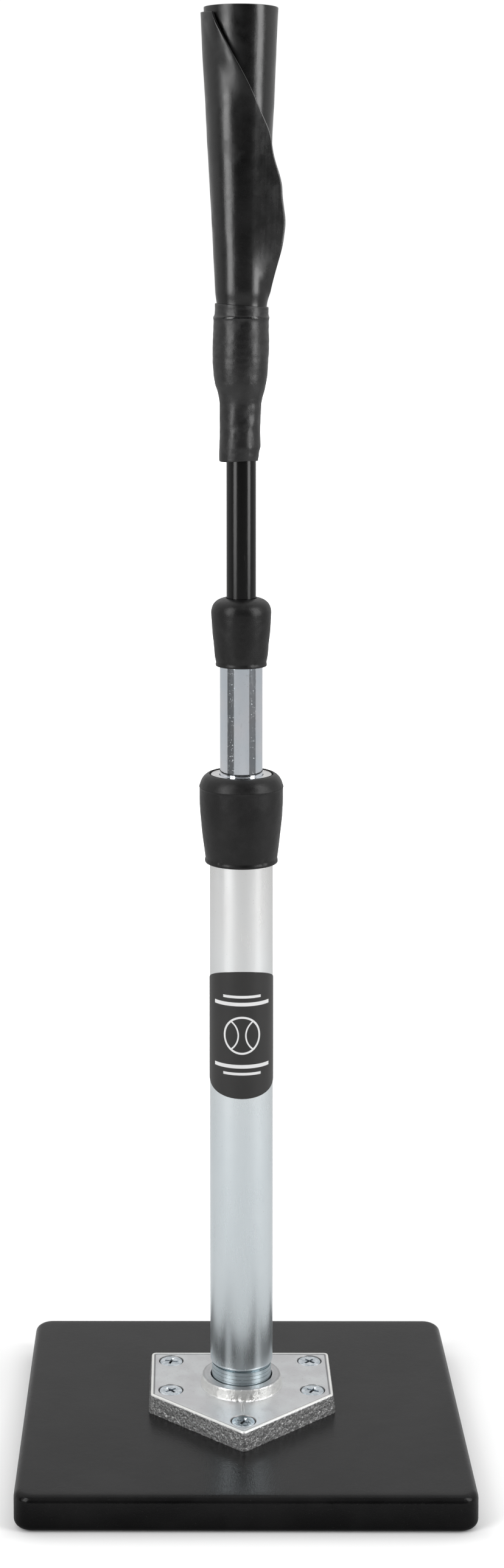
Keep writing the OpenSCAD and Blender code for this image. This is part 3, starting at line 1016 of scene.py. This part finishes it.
def makeSleeve(s):
    foot, top, widest = sizes("rest_sleeve")
    adapter = sizes("rest_adapter")[0] - foot

    def sideAt(rise, wall):
        levels = s["side"]
        for (z0, l0, r0), (z1, l1, r1) in zip(levels, levels[1:]):
            if rise <= z1:
                t = max(0.0, (rise - z0) / (z1 - z0))
                t = t * t * (3 - 2 * t)
                return l0 + (l1 - l0) * t - wall, r0 + (r1 - r0) * t - wall
        return levels[-1][1] - wall, levels[-1][2] - wall

    corners = [(l, foot + z, 1.2) for z, l, r in s["side"]]
    inner = [(l - s["wall"], foot + z, 1.0) for z, l, r in reversed(s["side"])]
    outline = divided(softened(corners + inner, 3), 1.1)

    def swell(angle, r, z):
        rise = z - foot
        inside = r < sideAt(rise, s["wall"] / 2)[0]
        left, right = sideAt(rise, 0)
        offset = (right - left) * (1 + math.sin(angle)) / 2
        around = s["lumpRadius"]
        offset += (s["largeLump"] * lumps(angle, around, z, 10, 2.0)
                   + s["smallLump"] * lumps(angle, around, z, 4, 5.0))
        offset += s["ripple"] * math.sin(rise * 1.5) * ease(rise, 50, 60)
        out, height, width = s["crest"]
        offset += out * hump(rise, height, width)
        for height, turn, size, depth in s["folds"]:
            across = turnTo(angle, turn) / radian * s["foldRadius"]
            along = rise + s["foldSlant"] * across
            offset += depth * hump(along, height, size) * hump(across, 0, s["foldReach"])
        if inside and rise > adapter:
            offset = max(offset, s["leastBore"] - r)
        tilt = -s["topTilt"] * (1 + math.sin(angle)) / 2 * ease(z, top - s["tiltHeight"], top)
        wave = (s["footWave"] * (0.5 + 0.5 * math.sin(2 * angle + 0.8))
                * ease(-rise, -s["waveHeight"], 0))
        return min(offset, widest - r), tilt + wave

    mesh = smoothMesh(lathe(outline, 144, swell), 70)
    return addPiece("rest_sleeve_shrunk", mesh, "sleeve", "rod_stage",
                    ["rest_sleeve"])


makeSleeve(sleeve)
print("sleeve made")


roll = {
    "columns": 330, "rows": 130, "sheet": 2.0, "bevel": 0.25, "rimDrop": 0.3,
    "foot": 660.0, "sleeveTop": 694.0, "looseBelow": 3.0, "looseAbove": 7.0,
    "footRadius": 12.2, "footGain": 3.1, "footTurn": 750.0, "neckRadius": 15.2, "neckTurn": 630.0,
    "mouthRadius": 23.8, "mouthShift": -0.5, "wrapPitch": 2.2, "innerEnd": 60.0,
    # the sheet's diagonal edge: its turn at the mouth, slope per mm, and where it stops turning,
    # with (turn, from height, to height) for what it loses above and gains below
    "edgeAtMouth": 675.0, "edgeSlope": 1.36, "edgeStop": 782.5, "edgeSoft": 16.0,
    "edgeLoss": (-12.0, 762.0, 790.0), "edgeGain": (5.0, 765.0, 740.0),
    "edgeTuck": 24.0, "tuckTop": 730.0, "tuckHeight": 36.0,
    # the top edge drops over the outer turns
    "flapDrop": 4.0, "dropFrom": 300.0, "dropTurn": 375.0,
    # the loose flap runs straight past this turn, later above and below the middle height
    "flatFrom": 738.0, "flatMiddle": 752.0, "flatAbove": 0.0015, "flatBelow": 5.8e-6,
    "flatSoft": 16.0,
    # the edge lifts from gapFoot on, and fully from gapFull below the mouth to gapFade below it
    "edgeLift": 1.9, "gapFoot": 800.0, "gapFull": 28.0, "gapFade": 12.0, "gapTurn": 34.0,
    "rippleTurn": 0.012, "rippleHeight": 0.035, "ripple": 0.7,
}


def makeRoll(s):
    outside = ("sheet", "bevel", "rimDrop")  # the tree doesn't take these
    values = {key: value for key, value in s.items()
              if isinstance(value, float) and key not in outside}
    values["mouth"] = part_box("rest_roll")[1].z / mm - s["rimDrop"]
    tree, names, wires = newTree("rolledSheet", [(key, "NodeSocketFloat") for key in values])
    w = Wire(tree)
    flat = w.make("GeometryNodeMeshGrid", None, {
        "Size X": 1.0, "Size Y": 1.0, "Vertices X": s["columns"], "Vertices Y": s["rows"]})
    place = w.make("GeometryNodeInputPosition")
    across, along = axisOf(place, "X") + 0.5, axisOf(place, "Y") + 0.5
    foot, top, innerEnd = wires["foot"], wires["mouth"], wires["innerEnd"]
    neck = wires["sleeveTop"]
    rough = foot + along * (top - wires["flapDrop"] - foot)
    slant = wires["edgeAtMouth"] + wires["edgeSlope"] * (top - wires["flapDrop"] - rough)
    low = clamped((wires["tuckTop"] - rough) / wires["tuckHeight"])
    stop = wires["edgeStop"] + wires["edgeTuck"] * low ** 3.0
    for amount, start, end in (s["edgeLoss"], s["edgeGain"]):
        rising = rough.step(start, end) if end > start else rough.step(end, start, 1.0, 0.0)
        stop = stop + rising * amount
    edge = slant.maths("SMOOTH_MIN", stop, wires["edgeSoft"])
    turn = innerEnd + across * (edge - innerEnd)
    late = (turn - wires["dropFrom"]).maths("MAXIMUM", 0.0) / wires["dropTurn"]
    height = foot + along * (top - foot - wires["flapDrop"] * late * late)
    share = (height - neck) / (top - neck)
    free = wires["neckRadius"] + share * (wires["mouthRadius"] - wires["neckRadius"])
    free = free + wires["wrapPitch"] * (turn - wires["neckTurn"]) / 360
    rise = height - wires["flatMiddle"]
    above, below = rise.maths("MAXIMUM", 0.0), rise.maths("MINIMUM", 0.0)
    start = wires["flatFrom"] + wires["flatAbove"] * above ** 2.0
    start = start + wires["flatBelow"] * (below * below * below * below)
    past = (turn - start).maths("SMOOTH_MAX", 0.0, wires["flatSoft"]) * (math.pi / 180)
    free = free / past.maths("COSINE")
    upper = (height.step(wires["gapFoot"], top - wires["gapFull"])
             * height.step(top - wires["gapFade"], top, 1.0, 0.0))
    free = free + wires["edgeLift"] * upper * (edge - turn).step(0.0, wires["gapTurn"], 1.0, 0.0)
    ripple = w.make("ShaderNodeTexNoise", {"noise_dimensions": "2D"}, {
        "Vector": combined(w, X=turn * wires["rippleTurn"], Y=height * wires["rippleHeight"]),
        "Scale": 1.0, "Detail": 2.0})
    free = free + (ripple - 0.5) * wires["ripple"] * share.step(0.0, 0.2)
    bound = wires["footRadius"] + (turn - innerEnd) * wires["footGain"] / wires["footTurn"]
    loose = height.step(neck - wires["looseBelow"], neck + wires["looseAbove"])
    radius = bound + (free - bound) * loose
    angle = turn * (math.pi / 180)
    x = radius * angle.maths("SINE") + wires["mouthShift"] * share.step(0.0, 1.0)
    y = 0 - radius * angle.maths("COSINE")
    bent = w.make("GeometryNodeSetPosition", None, {
        "Geometry": flat, "Position": combined(w, X=x * mm, Y=y * mm, Z=height * mm)})
    endTree(tree, bent, finishes["roll"])
    mesh = growMesh(tree, names, values)
    middle = mesh.polygons[len(mesh.polygons) // 2]
    if middle.normal.dot(Vector((middle.center.x, middle.center.y, 0))) < 0:
        mesh.flip_normals()

    def thicken(host):
        wall = host.modifiers.new("wall", "SOLIDIFY")
        wall.thickness = s["sheet"] * mm
        wall.offset = -1
        soft = host.modifiers.new("soft", "BEVEL")
        soft.width = s["bevel"] * mm
        soft.segments = 2
        soft.limit_method = "ANGLE"
        soft.angle_limit = math.radians(60)

    mesh = smoothMesh(applyModifiers(mesh, thicken), 50)
    piece = addPiece("rest_roll_rubber", mesh, "roll", None,
                     ["rest_roll", "rest_roll_foot"])
    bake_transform(piece)
    return piece


makeRoll(roll)
print("ball rest made")


innerFinishes = {
    "lower_guide": "nylon", "middle_glide": "nylon", "middle_guide": "nylon",
    "rod_glide": "nylon", "middle_friction_rings": "friction", "rod_friction_rings": "friction",
    "middle_clips": "clip", "rod_clips": "clip", "rest_adapter": "adapter", "rest_pin": "pin",
    "rest_clamp_band": "band",
}
for nodeName, finish in innerFinishes.items():
    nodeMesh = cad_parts[nodeName].data
    nodeMesh.materials.clear()
    nodeMesh.materials.append(finishes[finish])
print("inner pieces painted")


studio = {
    "floorRadius": 14.0, "floorColor": 0.62, "floorSeen": 0.92, "floorGlow": 0.04,
    "shadowWidth": 0.016, "shadowGlow": 0.08, "farFront": (-7.0, -3.0), "farColor": 0.15,
    "room": 0.02, "behind": 0.75, "ceiling": 0.4,
    "backdrop": 1.05, "floorDrop": 0.0004,
    # azimuth in degrees, distance and width in metres, then the azimuth and glow of a dark board
    "strips": [(-50, 1.7, 0.72, -61, 0.11), (62, 1.7, 0.66, 62, 0.16)],
    "stripFoot": 0.3, "stripTop": 2.3, "stripPower": 24.0,
    "boardAway": 1.6, "boardTurn": 20, "boardHeight": 0.29,
}


def makeFloor(s):
    mesh = bpy.data.meshes.new("floor")
    work = bmesh.new()
    bmesh.ops.create_circle(work, cap_ends=True, segments=96, radius=s["floorRadius"])
    work.to_mesh(mesh)
    work.free()
    material, w = newMaterial("floorPaint")
    y = placeOn(w, "Y")
    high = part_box("base_plate")[1]
    beside = placeOn(w, "X").maths("ABSOLUTE") - high.x
    gap = beside.maths("MAXIMUM", y.maths("ABSOLUTE") - high.y)
    # Painted contact shadow: for camera rays the floor glows less within shadowWidth of the base; for
    # other rays its colour is darker near the base, a painted shadow, and darker far in front.
    away = gap.step(0.0, s["shadowWidth"])
    near = y.step(*s["farFront"], s["farColor"], 1.0) * (0.4 + 0.6 * gap.step(0.0, 0.06))
    seen = w.make("ShaderNodeLightPath", out="Is Camera Ray")
    glow = s["floorGlow"] + (y.step(0.25, 2.5) + away * s["shadowGlow"]) * seen
    setShader(material, {
        "Base Color": mixColors(seen + near * (1 - seen) * (s["floorColor"] / s["floorSeen"]),
                                grey(0), grey(s["floorSeen"])),
        "Roughness": 0.8, "Specular IOR Level": 0.2,
        "Emission Color": mixColors(glow, grey(0), grey(1)), "Emission Strength": 1.0})
    mesh.materials.append(material)
    floor = addObject("floor", mesh)
    floor.location.z = -s["floorDrop"]


def makeBoard(name, s, azimuth, glow):  # a low dark board that only reflections see
    points, faces = [], []
    steps = 8
    for k in range(steps + 1):
        angle = math.radians(azimuth + s["boardTurn"] * (2 * k / steps - 1))
        for z in (0, s["boardHeight"]):
            points.append((s["boardAway"] * math.sin(angle), -s["boardAway"] * math.cos(angle), z))
    for k in range(steps):
        faces.append((2 * k, 2 * k + 2, 2 * k + 3, 2 * k + 1))
    mesh = bpy.data.meshes.new(name)
    mesh.from_pydata(points, [], faces)
    mesh.materials.append(setShader(newMaterial(name)[0], {
        "Base Color": grey(0), "Roughness": 1.0, "Specular IOR Level": 0.0,
        "Emission Color": grey(glow), "Emission Strength": 1.0}))
    board = addObject(name, mesh)
    board.visible_camera = False
    board.visible_shadow = False
    board.visible_diffuse = False


def makeWorld(s):
    world = bpy.data.worlds.new("studio")
    bpy.context.scene.world = world
    world.use_nodes = True
    w = Wire(world.node_tree)
    ray = w.make("ShaderNodeTexCoord", out="Generated")
    glow = s["room"] + axisOf(ray, "Y").step(-0.3, 0.1) * (s["behind"] - s["room"])
    glow = glow + axisOf(ray, "Z").step(0.35, 0.85) * s["ceiling"]
    seen = w.make("ShaderNodeLightPath", out="Is Camera Ray")
    glow = glow + (s["backdrop"] - glow) * seen
    background = world.node_tree.nodes["Background"]
    world.node_tree.links.new(glow.socket, background.inputs["Strength"])
    background.inputs["Color"].default_value = grey(1)


def makeStudio(s):
    makeFloor(s)
    for k, (azimuth, away, width, side, glow) in enumerate(s["strips"]):
        angle = math.radians(azimuth)
        data = bpy.data.lights.new(f"strip{k}", "AREA")
        data.shape = "RECTANGLE"
        data.size = width
        data.size_y = s["stripTop"] - s["stripFoot"]
        data.energy = s["stripPower"]
        light = addObject(f"strip{k}", data)
        middle = (s["stripTop"] + s["stripFoot"]) / 2
        light.location = (away * math.sin(angle), -away * math.cos(angle), middle)
        light.rotation_euler = (math.pi / 2, 0, angle)
        makeBoard(f"board{k}", s, side, glow)
    makeWorld(s)


makeStudio(studio)
bpy.context.scene.view_settings.view_transform = "Standard"
print("studio made")
